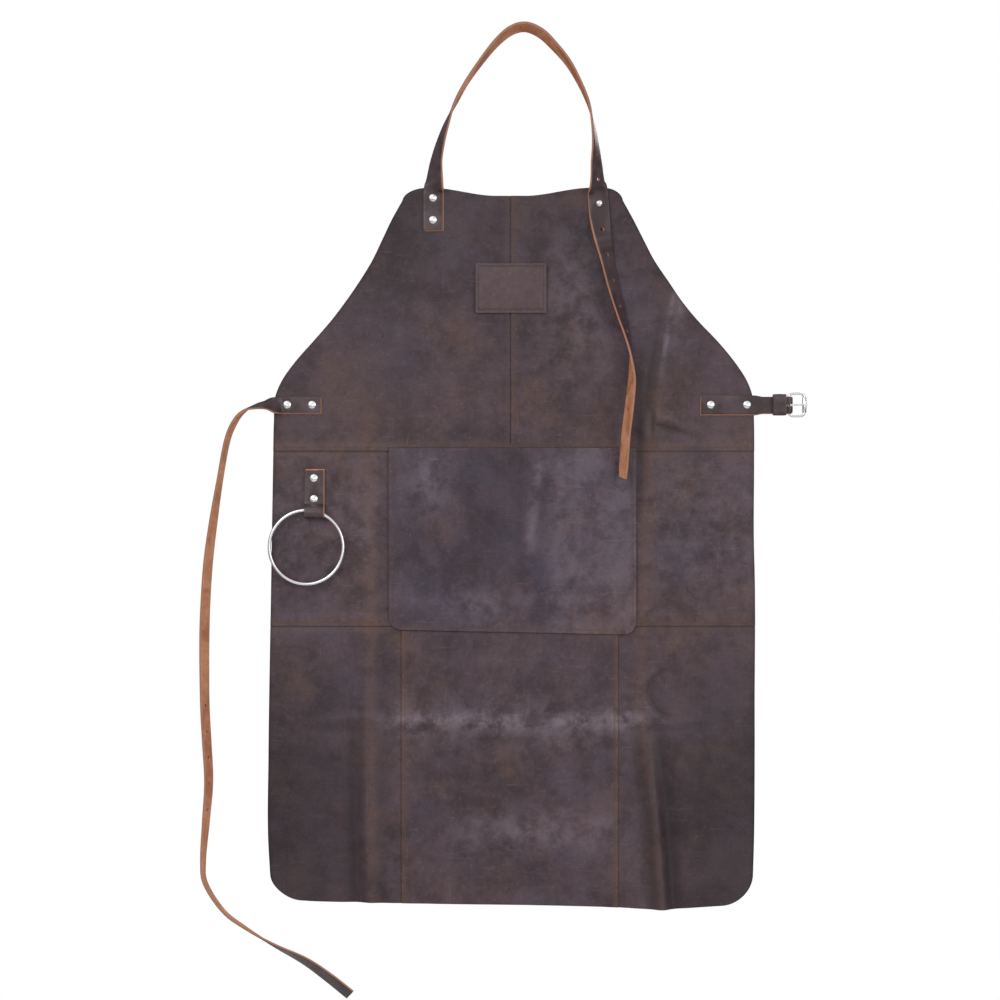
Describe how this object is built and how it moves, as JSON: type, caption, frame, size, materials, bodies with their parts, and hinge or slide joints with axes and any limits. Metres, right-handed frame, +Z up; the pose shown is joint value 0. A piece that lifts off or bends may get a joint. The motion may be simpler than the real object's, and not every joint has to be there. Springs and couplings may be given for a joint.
{
  "type": "leather welding apron",
  "caption": "Bib-style leather welding apron with sewn panels, front pocket, button-adjusted neck strap, buckled waist strap and a swinging tool ring.",
  "frame": {"origin": "underside of the neck strap at the top of its loop, where the apron hangs on the wearer's neck", "axes": "+Z up along the hanging apron, -Y out of the apron's front, +X to the right as seen from the front"},
  "size_m": [0.7717, 0.0474, 1.24],
  "materials": {
    "panel_leather": "waxed, softly pulled-up grain leather",
    "strap_leather": "firm smooth strap leather, dark grain side",
    "label_leather": "smooth satin leather",
    "thread": "bonded brown sewing thread",
    "steel": "nickel-plated steel"
  },
  "bodies": {
    "apron": {"bib_left_panel": "panel_leather", "bib_right_panel": "panel_leather", "waist_panel": "panel_leather", "skirt_left_panel": "panel_leather", "skirt_centre_panel": "panel_leather", "skirt_right_panel": "panel_leather", "front_pocket": "panel_leather", "label_patch": "label_leather", "bib_seam_thread": "thread", "upper_seam_thread": "thread", "lower_left_seam_thread": "thread", "lower_right_seam_thread": "thread", "skirt_left_seam_thread": "thread", "skirt_right_seam_thread": "thread", "pocket_thread": "thread", "label_thread": "thread", "neck_strap": "strap_leather", "waist_strap": "strap_leather", "ring_tab": "strap_leather", "buckle_strap": "strap_leather", "neck_rivet_upper_cap": "steel", "neck_rivet_upper_back": "steel", "neck_rivet_lower_cap": "steel", "neck_rivet_lower_back": "steel", "waist_rivet_outer_cap": "steel", "waist_rivet_outer_back": "steel", "waist_rivet_inner_cap": "steel", "waist_rivet_inner_back": "steel", "tab_rivet_upper_cap": "steel", "tab_rivet_upper_back": "steel", "tab_rivet_lower_cap": "steel", "tab_rivet_lower_back": "steel", "buckle_rivet_inner_cap": "steel", "buckle_rivet_inner_back": "steel", "buckle_rivet_outer_cap": "steel", "buckle_rivet_outer_back": "steel", "neck_stud": "steel", "neck_stud_screw": "steel"},
    "tool_ring": {"ring": "steel"},
    "keeper": {"buckle_keeper": "strap_leather"},
    "buckle": {"buckle_frame": "steel"},
    "prong": {"buckle_prong": "steel"},
    "roller": {"buckle_roller": "steel"}
  },
  "joints": [
    {"name": "ring_swing", "type": "hinge", "parent": "apron", "child": "tool_ring", "pos_m": [-0.269, -0.0099, -0.615], "axis": [-1, 0, 0], "range_deg": [0, 150]},
    {"name": "keeper_slide", "type": "slide", "parent": "apron", "child": "keeper", "axis": [-1, 0, 0], "range_m": [0, 0.018]},
    {"name": "buckle_swing", "type": "hinge", "parent": "apron", "child": "buckle", "pos_m": [0.3335, -0.001, -0.4785], "axis": [0, 0, -1], "range_deg": [-70, 25]},
    {"name": "prong_swing", "type": "hinge", "parent": "buckle", "child": "prong", "pos_m": [0.3335, -0.001, -0.4785], "axis": [0, 0, -1], "range_deg": [0, 50]},
    {"name": "roller_spin", "type": "hinge", "parent": "buckle", "child": "roller", "pos_m": [0.3535, -0.001, -0.4785], "axis": [0, 0, 1], "continuous": true}
  ]
}
